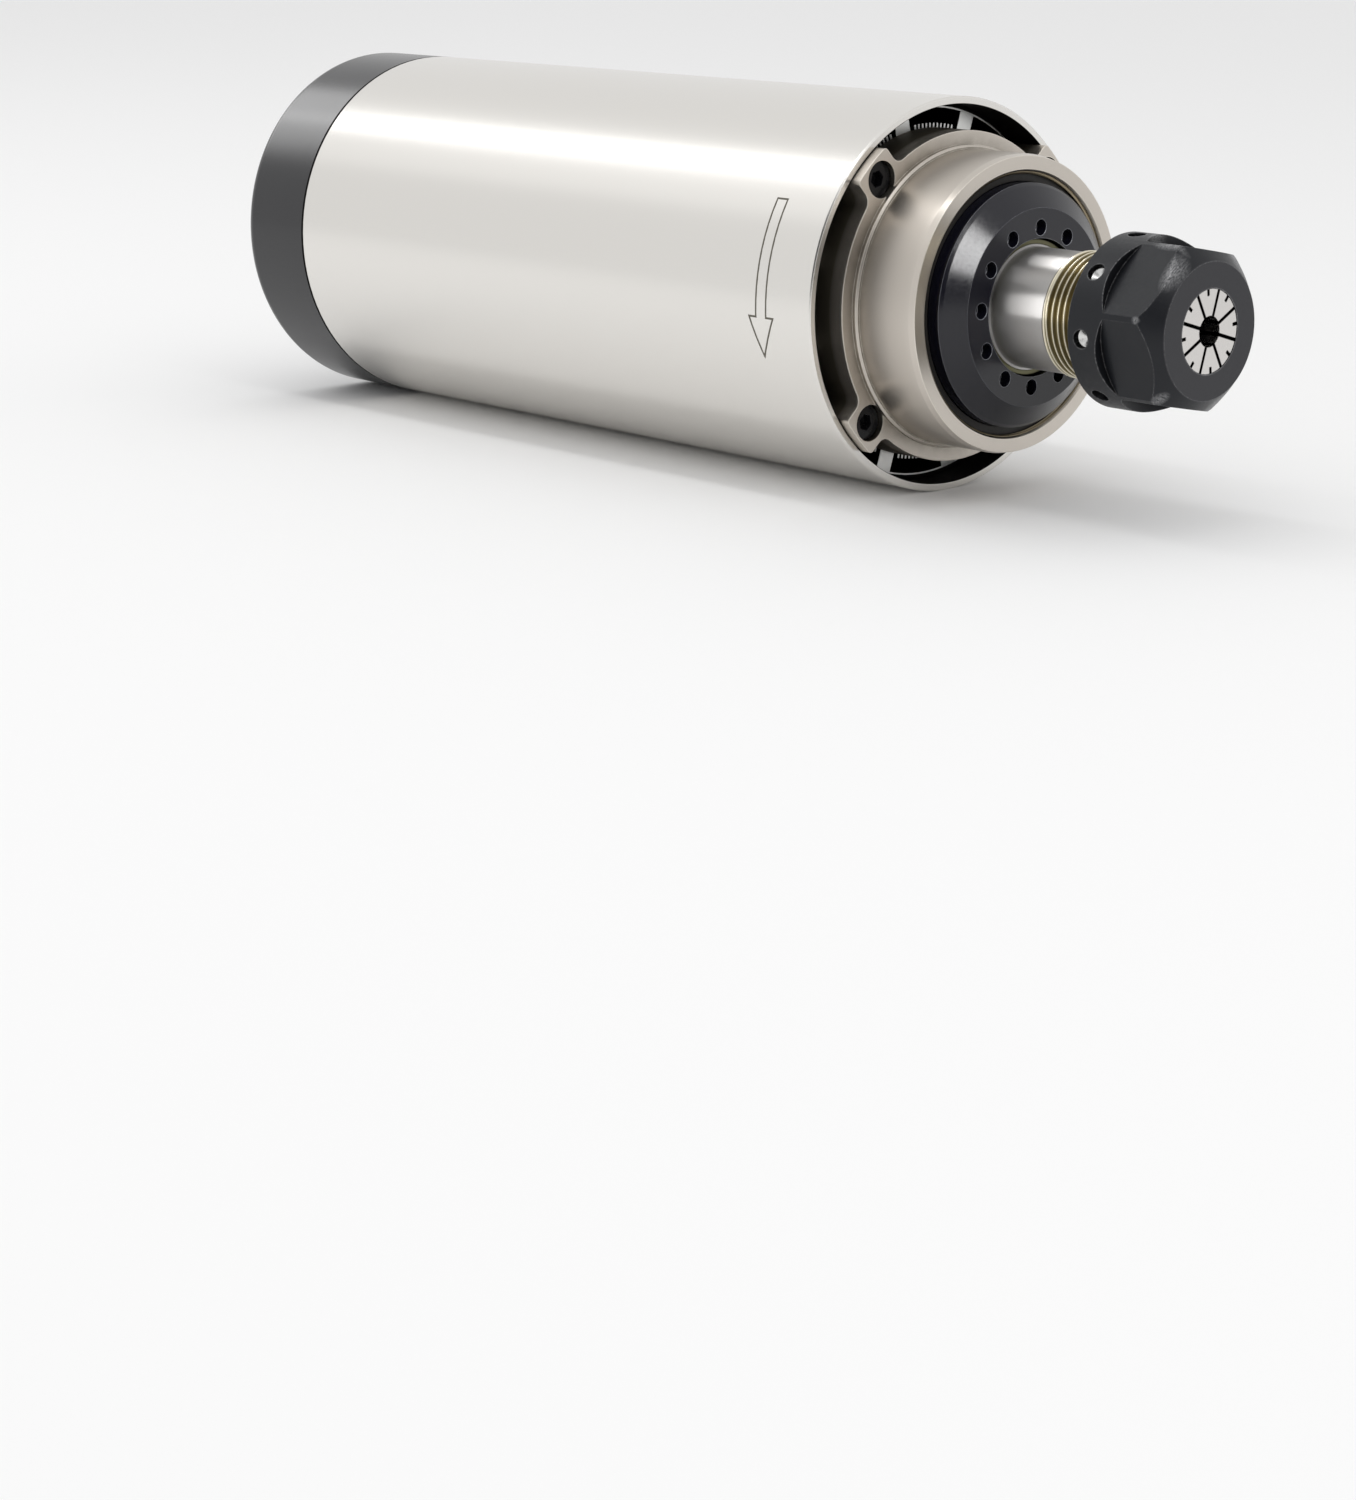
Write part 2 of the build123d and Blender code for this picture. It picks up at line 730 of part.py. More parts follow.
# Collet nut: round rear flange with drilled dimples, hexagon milled by a round
# cutter, bevelled front, and inside a cone and a lip for the collet's groove
with BuildPart() as nut:
    nut_front = collet_face + nut_proud
    nut_bore = thread_radius + nut_thread_gap
    nut_cone_rim = collet_rim + nut_cone_gap - nut_proud * tan(radians(collet_cone))
    nut_cone_base = nut_cone_rim + (nut_front - collet_cone_end) * tan(radians(collet_cone))
    nut_room = collet_radius + 2 * nut_lip_gap
    nut_lip_front = collet_cone_end - nut_lip_gap
    nut_lip_rear = nut_lip_front - nut_lip_width
    turn([
        (nut_rear, nut_bore),
        (nut_rear, nut_radius - nut_rear_chamfer),
        (nut_rear + nut_rear_chamfer, nut_radius),
        (nut_front - nut_bevel, nut_radius),
        (nut_front, nut_front_face),
        (nut_front, nut_cone_rim),
        (collet_cone_end, nut_cone_base),
        (nut_lip_front, nut_cone_base),
        (nut_lip_front, groove_radius + nut_lip_gap),
        (nut_lip_rear, groove_radius + nut_lip_gap),
        (nut_lip_rear, nut_room),
        (shaft_front + nut_relief, nut_room),
        (shaft_front + nut_relief, nut_bore),
    ])
    for k in range(nut_flats):
        turn_angle = radians(nut_hex_angle + k * 360 / nut_flats)
        outward = Vector(0, cos(turn_angle), sin(turn_angle))
        foot = outward * nut_flat_radius + Vector(nut_flat_start + nut_cutter_radius, 0, 0)
        with BuildSketch(Plane(origin=foot, x_dir=(1, 0, 0), z_dir=outward)):
            Circle(nut_cutter_radius)
        extrude(amount=nut_radius, mode=Mode.SUBTRACT)
    for k in range(dimple_count):
        turn_angle = radians(dimple_angle + k * 360 / dimple_count)
        outward = Vector(0, cos(turn_angle), sin(turn_angle))
        floor = outward * (nut_radius - dimple_depth) + Vector(nut_rear + dimple_place, 0, 0)
        with BuildSketch(Plane(origin=floor, x_dir=(1, 0, 0), z_dir=outward)):
            Circle(dimple_radius)
        extrude(amount=2 * dimple_depth, mode=Mode.SUBTRACT)
save(nut, "collet_nut")

# Rear cap: round-edged shell with a spigot, screw posts and a slotted plate
with BuildPart() as rear_cap:
    spigot_outer = sleeve_bore - slide_clearance
    turn([
        (cap_rear, 0),
        (cap_rear, body_radius),
        (cap_joint, body_radius),
        (cap_joint, spigot_outer),
        (cap_joint + cap_spigot, spigot_outer),
        (cap_joint + cap_spigot, spigot_outer - rear_cap_wall),
        (plate_front, spigot_outer - rear_cap_wall),
        (plate_front, 0),
    ])
    edges_at_rear = rear_cap.edges().filter_by(GeomType.CIRCLE).group_by(Axis.X)[0]
    fillet(edges_at_rear, cap_edge_fillet)
    with BuildSketch(across(plate_front)):
        with PolarLocations(ear_screw_circle, ear_count, start_angle=ear_angle):
            Circle(post_radius)
    extrude(amount=bell_rear - plate_front)
    with BuildSketch(across(cap_rear)):
        with PolarLocations((grille_inner + grille_outer) / 2, grille_slots, start_angle=clock_angle):
            Rectangle(grille_outer - grille_inner, grille_slot_width)
        Circle(socket_radius + slide_clearance)
    extrude(amount=cap_plate, mode=Mode.SUBTRACT)
    with BuildSketch(across(cap_rear)):
        with PolarLocations(ear_screw_circle, ear_count, start_angle=ear_angle):
            Circle(screw_hole)
    extrude(amount=bell_rear - cap_rear, mode=Mode.SUBTRACT)
    with BuildSketch(across(cap_rear)):
        with PolarLocations(ear_screw_circle, ear_count, start_angle=ear_angle):
            Circle(rear_screw_head + head_clearance)
    extrude(amount=rear_screw_sink, mode=Mode.SUBTRACT)
save(rear_cap, "rear_cap")

cap_screws("rear_cap_screws", cap_rear + rear_screw_set, -1, rear_screw_head,
           rear_screw_sink - rear_screw_set, screw_core, bell_front - cap_rear + rear_screw_grip,
           ear_screw_circle, ear_count, ear_angle, hex_socket)

# Cooling fan with slanted blades, held by a screw in the shaft's end
with BuildPart() as fan:
    turn([
        (fan_front, fan_seat),
        (fan_front, fan_hub_radius),
        (fan_rear + fan_screw_height, fan_hub_radius),
        (fan_rear, fan_hub_radius - fan_screw_height),
        (fan_rear, fan_screw_head + running_clearance),
        (shaft_rear, fan_screw_head + running_clearance),
        (shaft_rear, fan_seat),
    ])
    for k in range(fan_blades):
        turn_angle = radians(k * 360 / fan_blades)
        outward = Vector(0, cos(turn_angle), sin(turn_angle))
        root = outward * (fan_hub_radius - fan_blade_root) + Vector((fan_front + fan_rear) / 2, 0, 0)
        with BuildSketch(Plane(origin=root, x_dir=(1, 0, 0), z_dir=outward)):
            Rectangle(fan_width, fan_blade_thickness, rotation=fan_blade_angle)
        extrude(amount=fan_radius - fan_hub_radius + fan_blade_root)
save(fan, "cooling_fan")

turned("fan_screw", [
    (shaft_rear - fan_screw_height, 0),
    (shaft_rear - fan_screw_height, fan_screw_head - fan_screw_edge),
    (shaft_rear - fan_screw_height + fan_screw_edge, fan_screw_head),
    (shaft_rear, fan_screw_head),
    (shaft_rear, 0),
])

# Power socket: shell, insulator, pins and the nut behind the plate
socket_rear = cap_rear - socket_reach
socket_front = plate_front + socket_inside
turned("power_socket_shell", [
    (socket_rear, socket_bore),
    (socket_rear, socket_radius),
    (cap_rear - socket_flange_height, socket_radius),
    (cap_rear - socket_flange_height, socket_flange),
    (cap_rear, socket_flange),
    (cap_rear, socket_radius),
    (socket_front, socket_radius),
    (socket_front, socket_bore),
])
with BuildPart() as insulator:
    turn(tube(cap_rear - socket_floor, socket_front, 0, socket_bore))
    with BuildSketch(across(cap_rear - socket_floor)):
        with PolarLocations(socket_pin_circle, socket_pin_count, start_angle=ear_angle):
            Circle(socket_pin_radius)
    extrude(amount=socket_front - cap_rear + socket_floor, mode=Mode.SUBTRACT)
save(insulator, "power_socket_insulator")
with BuildPart() as pins:
    with BuildSketch(across(cap_rear - socket_floor - socket_pin_reach)):
        with PolarLocations(socket_pin_circle, socket_pin_count, start_angle=ear_angle):
            Circle(socket_pin_radius)
    extrude(amount=socket_pin_reach + socket_floor + cap_plate + socket_inside)
save(pins, "power_socket_pins")
with BuildPart() as socket_nut:
    with BuildSketch(across(plate_front)):
        RegularPolygon(socket_nut_radius, 6)
        Circle(socket_radius, mode=Mode.SUBTRACT)
    extrude(amount=socket_nut_height)
save(socket_nut, "power_socket_nut")
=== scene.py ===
import json
import math

import bmesh
import bpy
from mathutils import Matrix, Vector

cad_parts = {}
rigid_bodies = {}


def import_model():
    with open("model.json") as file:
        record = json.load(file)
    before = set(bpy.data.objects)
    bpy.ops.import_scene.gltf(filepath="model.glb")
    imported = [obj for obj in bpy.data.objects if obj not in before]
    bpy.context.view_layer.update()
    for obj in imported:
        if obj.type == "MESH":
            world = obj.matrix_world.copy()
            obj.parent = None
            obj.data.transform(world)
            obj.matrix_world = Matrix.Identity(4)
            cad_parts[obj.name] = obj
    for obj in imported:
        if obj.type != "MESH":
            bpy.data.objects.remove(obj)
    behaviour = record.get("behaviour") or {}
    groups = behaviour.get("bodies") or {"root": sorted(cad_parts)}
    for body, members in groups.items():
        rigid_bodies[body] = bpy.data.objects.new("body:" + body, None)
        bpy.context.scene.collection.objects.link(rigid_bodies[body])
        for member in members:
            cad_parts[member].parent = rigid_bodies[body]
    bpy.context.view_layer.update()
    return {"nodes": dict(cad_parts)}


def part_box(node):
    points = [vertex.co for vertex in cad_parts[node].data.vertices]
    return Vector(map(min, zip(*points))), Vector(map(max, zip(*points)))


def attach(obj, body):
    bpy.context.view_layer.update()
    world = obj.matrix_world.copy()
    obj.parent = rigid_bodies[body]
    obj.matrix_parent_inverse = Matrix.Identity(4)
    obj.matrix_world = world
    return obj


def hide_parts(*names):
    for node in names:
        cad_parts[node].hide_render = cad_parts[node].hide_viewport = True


# Air-cooled motor spindle: finishes, fine detail, light and camera, in metres.
# +X runs along the shaft towards the nose and +Z is up.

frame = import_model()
nodes = frame["nodes"]
MM = 0.001

# Camera, fitted to the rims of the body, the nose and the nut: metres, degrees,
# and millimetres for the lens and the sensor
CAMERA_PLACE = (0.45506, -0.47699, 0.08733)
CAMERA_AZIMUTH = 48.497
CAMERA_ELEVATION = 15.588
CAMERA_LENS = 77.36
SENSOR_WIDTH = 36
CLIP_NEAR = 0.01
CLIP_FAR = 50

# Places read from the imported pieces
sleeve_low, sleeve_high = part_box("outer_sleeve")
body_radius = sleeve_high.z
joint_x = sleeve_low.x
floor_height = sleeve_low.z
jacket_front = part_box("finned_jacket")[1].x
nut_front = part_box("collet_nut")[1].x

# Thread of the shaft's end, 25 mm by 1.5 mm, right-handed, in millimetres
THREAD_PITCH = 1.5
THREAD_CREST = 12.5
THREAD_DEPTH = 0.80
THREAD_START = 36.3
THREAD_END = 58.8
THREAD_MARGIN = 0.02
THREAD_STEPS = 128
# Length at each end over which a groove grows to its full depth, in pitches
THREAD_RUN_OUT = 0.7
# How far a vertex may lie from the thread's stretch, or below its crest, and
# still belong to it
THREAD_SLACK = 0.1
CREST_SLACK = 0.05
# Share of the pitch and share of the depth, over one turn of the thread
THREAD_PROFILE = [(0.0, 0.0), (0.05, 0.02), (0.17, 0.5), (0.29, 1.0),
                  (0.5, 1.05), (0.71, 1.0), (0.83, 0.5), (0.95, 0.02)]

# Thread left showing in the mouth of the nose ring, in millimetres
MOUTH_THREAD_CREST = 26.38
MOUTH_THREAD_DEPTH = 0.55
MOUTH_THREAD_START = 16.95
MOUTH_THREAD_END = 18.0
MOUTH_THREAD_PITCH = 0.75

# Turning arrow engraved round the sleeve: places along X in millimetres and
# angles round the axis in degrees, from +Y towards +Z
ARROW_MIDDLE = -14.05
ARROW_TAIL_ANGLE = 148.5
ARROW_HEAD_ANGLE = 183.0
ARROW_TIP_ANGLE = 194.5
ARROW_SHAFT_HALF = 1.45
ARROW_HEAD_HALF = 3.45
ARROW_LINE = 0.40
ARROW_LIFT = 0.012
ARROW_ROOT = 0.06
ARROW_STEP = 0.5
# A sharp corner reaches out by no more than half the line divided by this
MITRE_LIMIT = 0.3
# Room between the arrow and the sides of the body's box
BOX_MARGIN = 0.0001

# Drilled dimples round the nut, in millimetres and degrees; heights are taken
# from the nut's axis, and each row of the cone is a radius and a height
DIMPLE_COUNT = 8
DIMPLE_ANGLE = 140.8
DIMPLE_X = 50.0
DIMPLE_RADIUS = 1.79
DIMPLE_FLOOR = 14.61
DIMPLE_RIM = 15.75
DIMPLE_CONE = [(1.0, 15.20), (0.35, 14.75)]
DIMPLE_TIP = 14.64
DIMPLE_STEPS = 24

# Slots of the collet's face, in millimetres and degrees
COLLET_SLOTS = 8
COLLET_SLOT_ANGLE = 28.6
COLLET_NOTCH_ANGLE = 6.1
COLLET_NOTCH_REACH = 6.9
COLLET_LINE = 0.42
# Share of a line's half width that is fully black
COLLET_LINE_CORE = 0.7

# Worn places on the nut, which carry painted highlights too: x in mm, angle in degrees, reach in mm
# and in degrees
NUT_WEAR_AND_HIGHLIGHTS = [
    (65.4, 128, 2.2, 19),
    (61.5, 109, 4.5, 5),
    (64.6, 50, 2.6, 15),
    (54.3, 89, 1.8, 13),
    (64.6, 300, 2.6, 16),
    (63.0, 169, 1.0, 3),
    (64.8, 289, 2.2, 12),
    (64.6, 229, 1.6, 6),
    (64.6, 349, 1.6, 7),
]

# Where finishes change, in millimetres: each change starts at the first place
# and ends at the second. Radii are taken from the axis.
SLEEVE_BORE_RADII = (38.62, 38.52)
JACKET_SKIN_RADII = (37.62, 37.68)
THREAD_ROOT_RADII = (THREAD_CREST - 0.06, THREAD_CREST - 0.26)
THREAD_SHADE = (THREAD_START - 0.7, THREAD_START - 0.3)
FLANGE_BACK = (1.0, -1.5)
NOSE_POLISH = (15.5, 17.5)
# These are counted from the joint with the rear cap, the jacket's front and the nut's face
SLEEVE_SEAM = (0.4, 0.3)
REAR_CAP_SEAM = (-0.45, -0.3)
JACKET_FACE = (-0.25, -0.05)
NUT_FACE = (-0.2, -0.05)

# Width of the painted highlights on the rims of the sleeve and the flange, in
# metres, and the samples that round an edge or look for a crease
RIM_WIDTH = 0.0004
EDGE_SAMPLES = 6

# Meshes: vertices closer than the first are one, edges shorter than the second
# go, both in metres, and faces that meet below an angle in degrees look smooth
WELD = 0.000001
SLIVER = 0.0000005
SMOOTH_ANGLE = 35
SHAFT_SMOOTH_ANGLE = 20

# Studio, in metres: floor, surround and a dark screen that shows in reflections.
# The screen is solid up to the core's share of its reach and fades out to its rim.
FLOOR_SIZE = 12
FLOOR_TONE = 0.92
SURROUND_STRENGTH = 0.85
CARD_DIRECTION = (0.70, -0.62, 0.36)
CARD_DISTANCE = 1.5
CARD_REACH = 0.85
CARD_CORE = 0.55
CARD_STEPS = 48


class Finish:
    """A material and short ways to add and join its shader nodes."""

    def __init__(self, name, color, metallic, roughness):
        self.material = bpy.data.materials.new(name)
        self.material.use_nodes = True
        self.tree = self.material.node_tree
        self.shader = self.tree.nodes["Principled BSDF"]
        self.shader.inputs["Base Color"].default_value = (*color, 1)
        self.shader.inputs["Metallic"].default_value = metallic
        self.shader.inputs["Roughness"].default_value = roughness
        self.bumps = None
        self.place = self.add("ShaderNodeTexCoord").outputs["Object"]
        split = self.add("ShaderNodeSeparateXYZ", Vector=self.place)
        self.x = split.outputs["X"]
        self.radius = self.length(split.outputs["Y"], split.outputs["Z"])
        self.angle = self.math("ARCTAN2", split.outputs["Z"], split.outputs["Y"])

    def add(self, kind, settings=None, **inputs):
        """A shader node, its settings, and its inputs by name (a value or an output)."""
        made = self.tree.nodes.new(kind)
        for key, value in (settings or {}).items():
            setattr(made, key, value)
        for key, value in inputs.items():
            self.join(value, made.inputs[key.replace("_", " ")])
        return made

    def join(self, value, target):
        """Link an output to an input, or set the input to a plain value."""
        if isinstance(value, bpy.types.NodeSocket):
            self.tree.links.new(value, target)
        else:
            target.default_value = value

    def math(self, operation, *values):
        """One arithmetic node."""
        made = self.tree.nodes.new("ShaderNodeMath")
        made.operation = operation
        for value, target in zip(values, made.inputs):
            self.join(value, target)
        return made.outputs[0]

    def length(self, first, second):
        """The length of a way that runs first and second along two axes."""
        return self.math("SQRT", self.math("ADD", self.math("POWER", first, 2),
                                           self.math("POWER", second, 2)))

    def ramp(self, value, low, high, low_out=0.0, high_out=1.0):
        """A clamped straight run from low_out at low to high_out at high."""
        made = self.add("ShaderNodeMapRange", Value=value)
        made.inputs["From Min"].default_value = low
        made.inputs["From Max"].default_value = high
        made.inputs["To Min"].default_value = low_out
        made.inputs["To Max"].default_value = high_out
        return made.outputs[0]

    def change(self, value, places, base=0.0):
        """0 to 1 between two places in millimetres, counted from a base in metres."""
        start, end = places
        return self.ramp(value, base + start * MM, base + end * MM)

    def less(self, value, share):
        """A value faded out where a share goes from 0 to 1."""
        return self.math("MULTIPLY", value, self.ramp(share, 0, 1, 1.0, 0.0))

    def noise(self, vector, scale, detail=2.0, roughness=0.5):
        """A noise value between 0 and 1 at a vector."""
        made = self.add("ShaderNodeTexNoise", Vector=vector, Scale=scale, Detail=detail,
                        Roughness=roughness)
        return made.outputs["Fac"]

    def turned_vector(self, along, outward, around):
        """Coordinates stretched for marks left by turning: fine along and outward."""
        made = self.add("ShaderNodeCombineXYZ")
        self.join(self.math("MULTIPLY", self.x, along), made.inputs["X"])
        self.join(self.math("MULTIPLY", self.radius, outward), made.inputs["Y"])
        self.join(self.math("MULTIPLY", self.angle, around), made.inputs["Z"])
        return made.outputs[0]

    def mix(self, share, first, second):
        """A colour between two colours."""
        made = self.add("ShaderNodeMix", {"data_type": "RGBA"})
        self.join(share, made.inputs[0])
        for value, target in ((first, made.inputs[6]), (second, made.inputs[7])):
            if isinstance(value, tuple):
                value = (*value, 1)
            self.join(value, target)
        return made.outputs[2]

    def bump(self, height, distance, strength=1.0):
        """Stack a bump of the given height onto the shader's normal."""
        made = self.add("ShaderNodeBump", Height=height, Distance=distance, Strength=strength)
        if self.bumps is not None:
            self.tree.links.new(self.bumps, made.inputs["Normal"])
        self.bumps = made.outputs[0]
        self.tree.links.new(self.bumps, self.shader.inputs["Normal"])

    def soft_edges(self, width):
        """Round the look of machined edges by a small width."""
        made = self.add("ShaderNodeBevel", {"samples": EDGE_SAMPLES}, Radius=width)
        self.bumps = made.outputs[0]
        self.tree.links.new(self.bumps, self.shader.inputs["Normal"])

    def edges(self, width, low=0.01, high=0.12):
        """1 near the edges of the form and 0 away from them."""
        rounded = self.add("ShaderNodeBevel", {"samples": EDGE_SAMPLES}, Radius=width)
        flat = self.add("ShaderNodeNewGeometry")
        dot = self.add("ShaderNodeVectorMath", {"operation": "DOT_PRODUCT"})
        self.join(rounded.outputs[0], dot.inputs[0])
        self.join(flat.outputs["Normal"], dot.inputs[1])
        return self.ramp(dot.outputs["Value"], 1 - low, 1 - high)

    def creases(self, distance, low=0.35, high=0.9):
        """1 deep in corners and narrow gaps and 0 in the open."""
        shelter = self.add("ShaderNodeAmbientOcclusion", {"samples": EDGE_SAMPLES}, Distance=distance)
        return self.ramp(shelter.outputs["AO"], high, low)

    def near(self, x, angle, x_reach, angle_reach):
        """1 at a place given by x in mm and an angle in degrees, fading to 0 around it."""
        along = self.math("DIVIDE", self.math("SUBTRACT", self.x, x * MM), x_reach * MM)
        turn = self.math("SUBTRACT", self.angle, math.radians(angle))
        turn = self.math("WRAP", turn, math.pi, -math.pi)
        around = self.math("DIVIDE", turn, math.radians(angle_reach))
        return self.ramp(self.length(along, around), 1.0, 0.2)

    def to(self, name, value):
        """Link a value to one of the shader's inputs."""
        self.join(value, self.shader.inputs[name])


def turned_metal(name, color, roughness, marks=0.000003, edge=0.00025, spread=0.04):
    """Metal with fine turning marks and a slightly uneven gloss."""
    finish = Finish(name, color, 1.0, roughness)
    finish.soft_edges(edge)
    rings = finish.noise(finish.turned_vector(1.0, 1.0, 0.0004), 2600, 3.0, 0.7)
    patches = finish.noise(finish.place, 60, 3.0)
    dull_rings = finish.ramp(rings, 0.3, 0.7, 0, spread)
    dull_patches = finish.ramp(patches, 0.3, 0.7, roughness - 0.02, roughness + 0.02)
    finish.to("Roughness", finish.math("ADD", dull_rings, dull_patches))
    finish.bump(rings, marks)
    return finish


def plain(name, color, metallic, roughness, grain=0.000004, scale=1500, edge=0.00025):
    """A plain surface with a fine grain."""
    finish = Finish(name, color, metallic, roughness)
    finish.soft_edges(edge)
    grains = finish.noise(finish.place, scale, 4.0, 0.6)
    finish.to("Roughness", finish.ramp(grains, 0.3, 0.7, roughness - 0.04, roughness + 0.05))
    finish.bump(grains, grain)
    return finish


def sleeve_finish():
    """Fine-brushed stainless steel with painted highlights on its rims, dark inside and in the joint
    with the rear cap.
    """
    steel = (0.79, 0.77, 0.735)
    rim_highlight = (0.95, 0.94, 0.91)
    shade = (0.012, 0.011, 0.010)
    finish = turned_metal("sleeve_steel", steel, 0.24, 0.0000015, spread=0.03)
    inside = finish.change(finish.radius, SLEEVE_BORE_RADII)
    seam = finish.change(finish.x, SLEEVE_SEAM, joint_x)
    dark = finish.math("MAXIMUM", inside, seam)
    # Painted highlight along the rims of the sleeve
    rim = finish.math("MULTIPLY", finish.edges(RIM_WIDTH), 0.5)
    bright = finish.mix(rim, steel, rim_highlight)
    finish.to("Base Color", finish.mix(dark, bright, shade))
    finish.to("Roughness", finish.ramp(dark, 0, 1, 0.25, 0.8))
    return finish


def nickel_finish():
    """Warm grey plating, with painted highlights at the edges and painted shade in the corners and
    behind the face.
    """
    plating = (0.60, 0.555, 0.50)
    rim_highlight = (0.92, 0.87, 0.78)
    shade_tone = (0.10, 0.085, 0.06)
    finish = turned_metal("nickel_grey", plating, 0.26, spread=0.05)
    # Painted highlight along the edges of the plating
    rims = finish.math("MULTIPLY", finish.edges(RIM_WIDTH), 0.7)
    # Painted shade: darker, unevenly, in corners and narrow gaps, and darkest behind the flange's
    # face
    patches = finish.ramp(finish.noise(finish.place, 350, 3.0), 0.25, 0.6, 0.5, 0.9)
    painted_shade = finish.math("MULTIPLY", finish.creases(0.006), patches)
    inside = finish.change(finish.x, FLANGE_BACK)
    painted_shade = finish.math("MAXIMUM", painted_shade, finish.math("MULTIPLY", inside, 0.93))
    unshaded = finish.mix(rims, plating, rim_highlight)
    nose = finish.ramp(finish.change(finish.x, NOSE_POLISH), 0, 1, 0.38, 0.28)
    finish.to("Roughness", finish.math("ADD", nose, finish.ramp(inside, 0, 1, 0.0, 0.25)))
    finish.to("Base Color", finish.mix(painted_shade, unshaded, shade_tone))
    return finish


def jacket_finish():
    """Extruded aluminium: machined bright at the front, with painted shade on the rest and in its
    deep channels.

    Of its skin only the inner edge is bright; painted shade covers the rest of its face.
    """
    machined = (0.84, 0.84, 0.82)
    shade = (0.008, 0.008, 0.007)
    finish = plain("blasted_aluminium", machined, 1.0, 0.36, 0.000006, 2200)
    front = finish.change(finish.x, JACKET_FACE, jacket_front)
    front = finish.less(front, finish.change(finish.radius, JACKET_SKIN_RADII))
    # Painted shade over all but the machined front face
    finish.to("Base Color", finish.mix(front, shade, machined))
    finish.to("Roughness", finish.ramp(front, 0, 1, 0.8, 0.36))
    return finish


def gloss_finish():
    """Glossy black plating with thin painted highlights on its edges."""
    black = (0.003, 0.003, 0.006)
    edge_highlight = (0.30, 0.31, 0.34)
    finish = plain("gloss_black", black, 0.0, 0.19, 0.000001)
    # Painted highlight along the edges
    rims = finish.math("MULTIPLY", finish.edges(0.00028, 0.02, 0.2), 0.8)
    finish.to("Base Color", finish.mix(rims, black, edge_highlight))
    return finish


def rear_cap_finish():
    """Satin black, with a dark line where it meets the sleeve."""
    black = (0.012, 0.012, 0.014)
    shade = (0.004, 0.004, 0.004)
    finish = plain("cap_black", black, 0.0, 0.24, scale=900)
    seam = finish.change(finish.x, REAR_CAP_SEAM, joint_x)
    finish.to("Base Color", finish.mix(seam, black, shade))
    finish.to("Metallic", seam)
    finish.to("Roughness", finish.ramp(seam, 0, 1, 0.24, 0.8))
    return finish


def shaft_finish():
    """Ground steel, with bright crests and tarnished roots in the thread."""
    steel = (0.48, 0.47, 0.46)
    crest = (0.90, 0.84, 0.68)
    tarnish = (0.20, 0.165, 0.085)
    finish = turned_metal("ground_steel", steel, 0.30)
    finish.shader.inputs["Anisotropic"].default_value = 0.85
    finish.shader.inputs["Anisotropic Rotation"].default_value = 0.25
    around = finish.add("ShaderNodeTangent", {"direction_type": "RADIAL", "axis": "X"})
    finish.to("Tangent", around.outputs[0])
    on_thread = finish.change(finish.x, THREAD_SHADE)
    depth = finish.change(finish.radius, THREAD_ROOT_RADII)
    roots = finish.math("MULTIPLY", on_thread, depth)
    crests = finish.mix(on_thread, steel, crest)
    finish.to("Base Color", finish.mix(roots, crests, tarnish))
    return finish


def nut_finish():
    """Charcoal oxide with a fine grain, rubbed bright at corners and ridges, with painted highlights
    there too and painted shade in the creases.
    """
    charcoal = (0.008, 0.009, 0.012)
    face = (0.028, 0.028, 0.032)
    # Bare metal colour of the worn places, also used for their painted highlights
    bare = (0.60, 0.60, 0.61)
    shade = (0.010, 0.010, 0.011)
    finish = plain("oxide_black", charcoal, 0.0, 0.38, 0.000012, 1400)
    finish.shader.inputs["Specular IOR Level"].default_value = 0.30
    thin = finish.edges(0.0005, 0.02, 0.2)
    broad = finish.edges(0.0016, 0.004, 0.08)
    scratches = finish.noise(finish.turned_vector(0.8, 1.2, 0.006), 3600, 5.0, 0.8)
    specks = finish.noise(finish.place, 1500, 4.0, 0.8)
    # Worn places that also stand in as painted highlights
    patches = finish.near(*NUT_WEAR_AND_HIGHLIGHTS[0])
    for place in NUT_WEAR_AND_HIGHLIGHTS[1:]:
        patches = finish.math("MAXIMUM", patches, finish.near(*place))
    front = finish.change(finish.x, NUT_FACE, nut_front)
    patches = finish.less(patches, front)
    rubbed_and_highlight = finish.math("MULTIPLY", patches, finish.ramp(broad, 0, 1, 0.45, 1.0))
    rubbed_and_highlight = finish.math("MULTIPLY", rubbed_and_highlight, finish.ramp(scratches, 0.36, 0.64))
    # Nicks along the thin edges, which also stand in as painted highlights
    nicks_and_highlight = finish.math("MULTIPLY", thin, finish.ramp(specks, 0.40, 0.72, 0.05, 0.6))
    wear_and_highlight = finish.math("MAXIMUM", rubbed_and_highlight, nicks_and_highlight)
    worn_and_highlight = finish.mix(wear_and_highlight, finish.mix(front, charcoal, face), bare)
    # Painted shade deep in the creases: a dark colour there, made metallic so it hardly reflects
    deep = finish.creases(0.005, 0.3, 0.8)
    finish.to("Base Color", finish.mix(deep, worn_and_highlight, shade))
    finish.to("Metallic", finish.math("MAXIMUM", deep, finish.math("MULTIPLY", wear_and_highlight, 0.8)))
    return finish


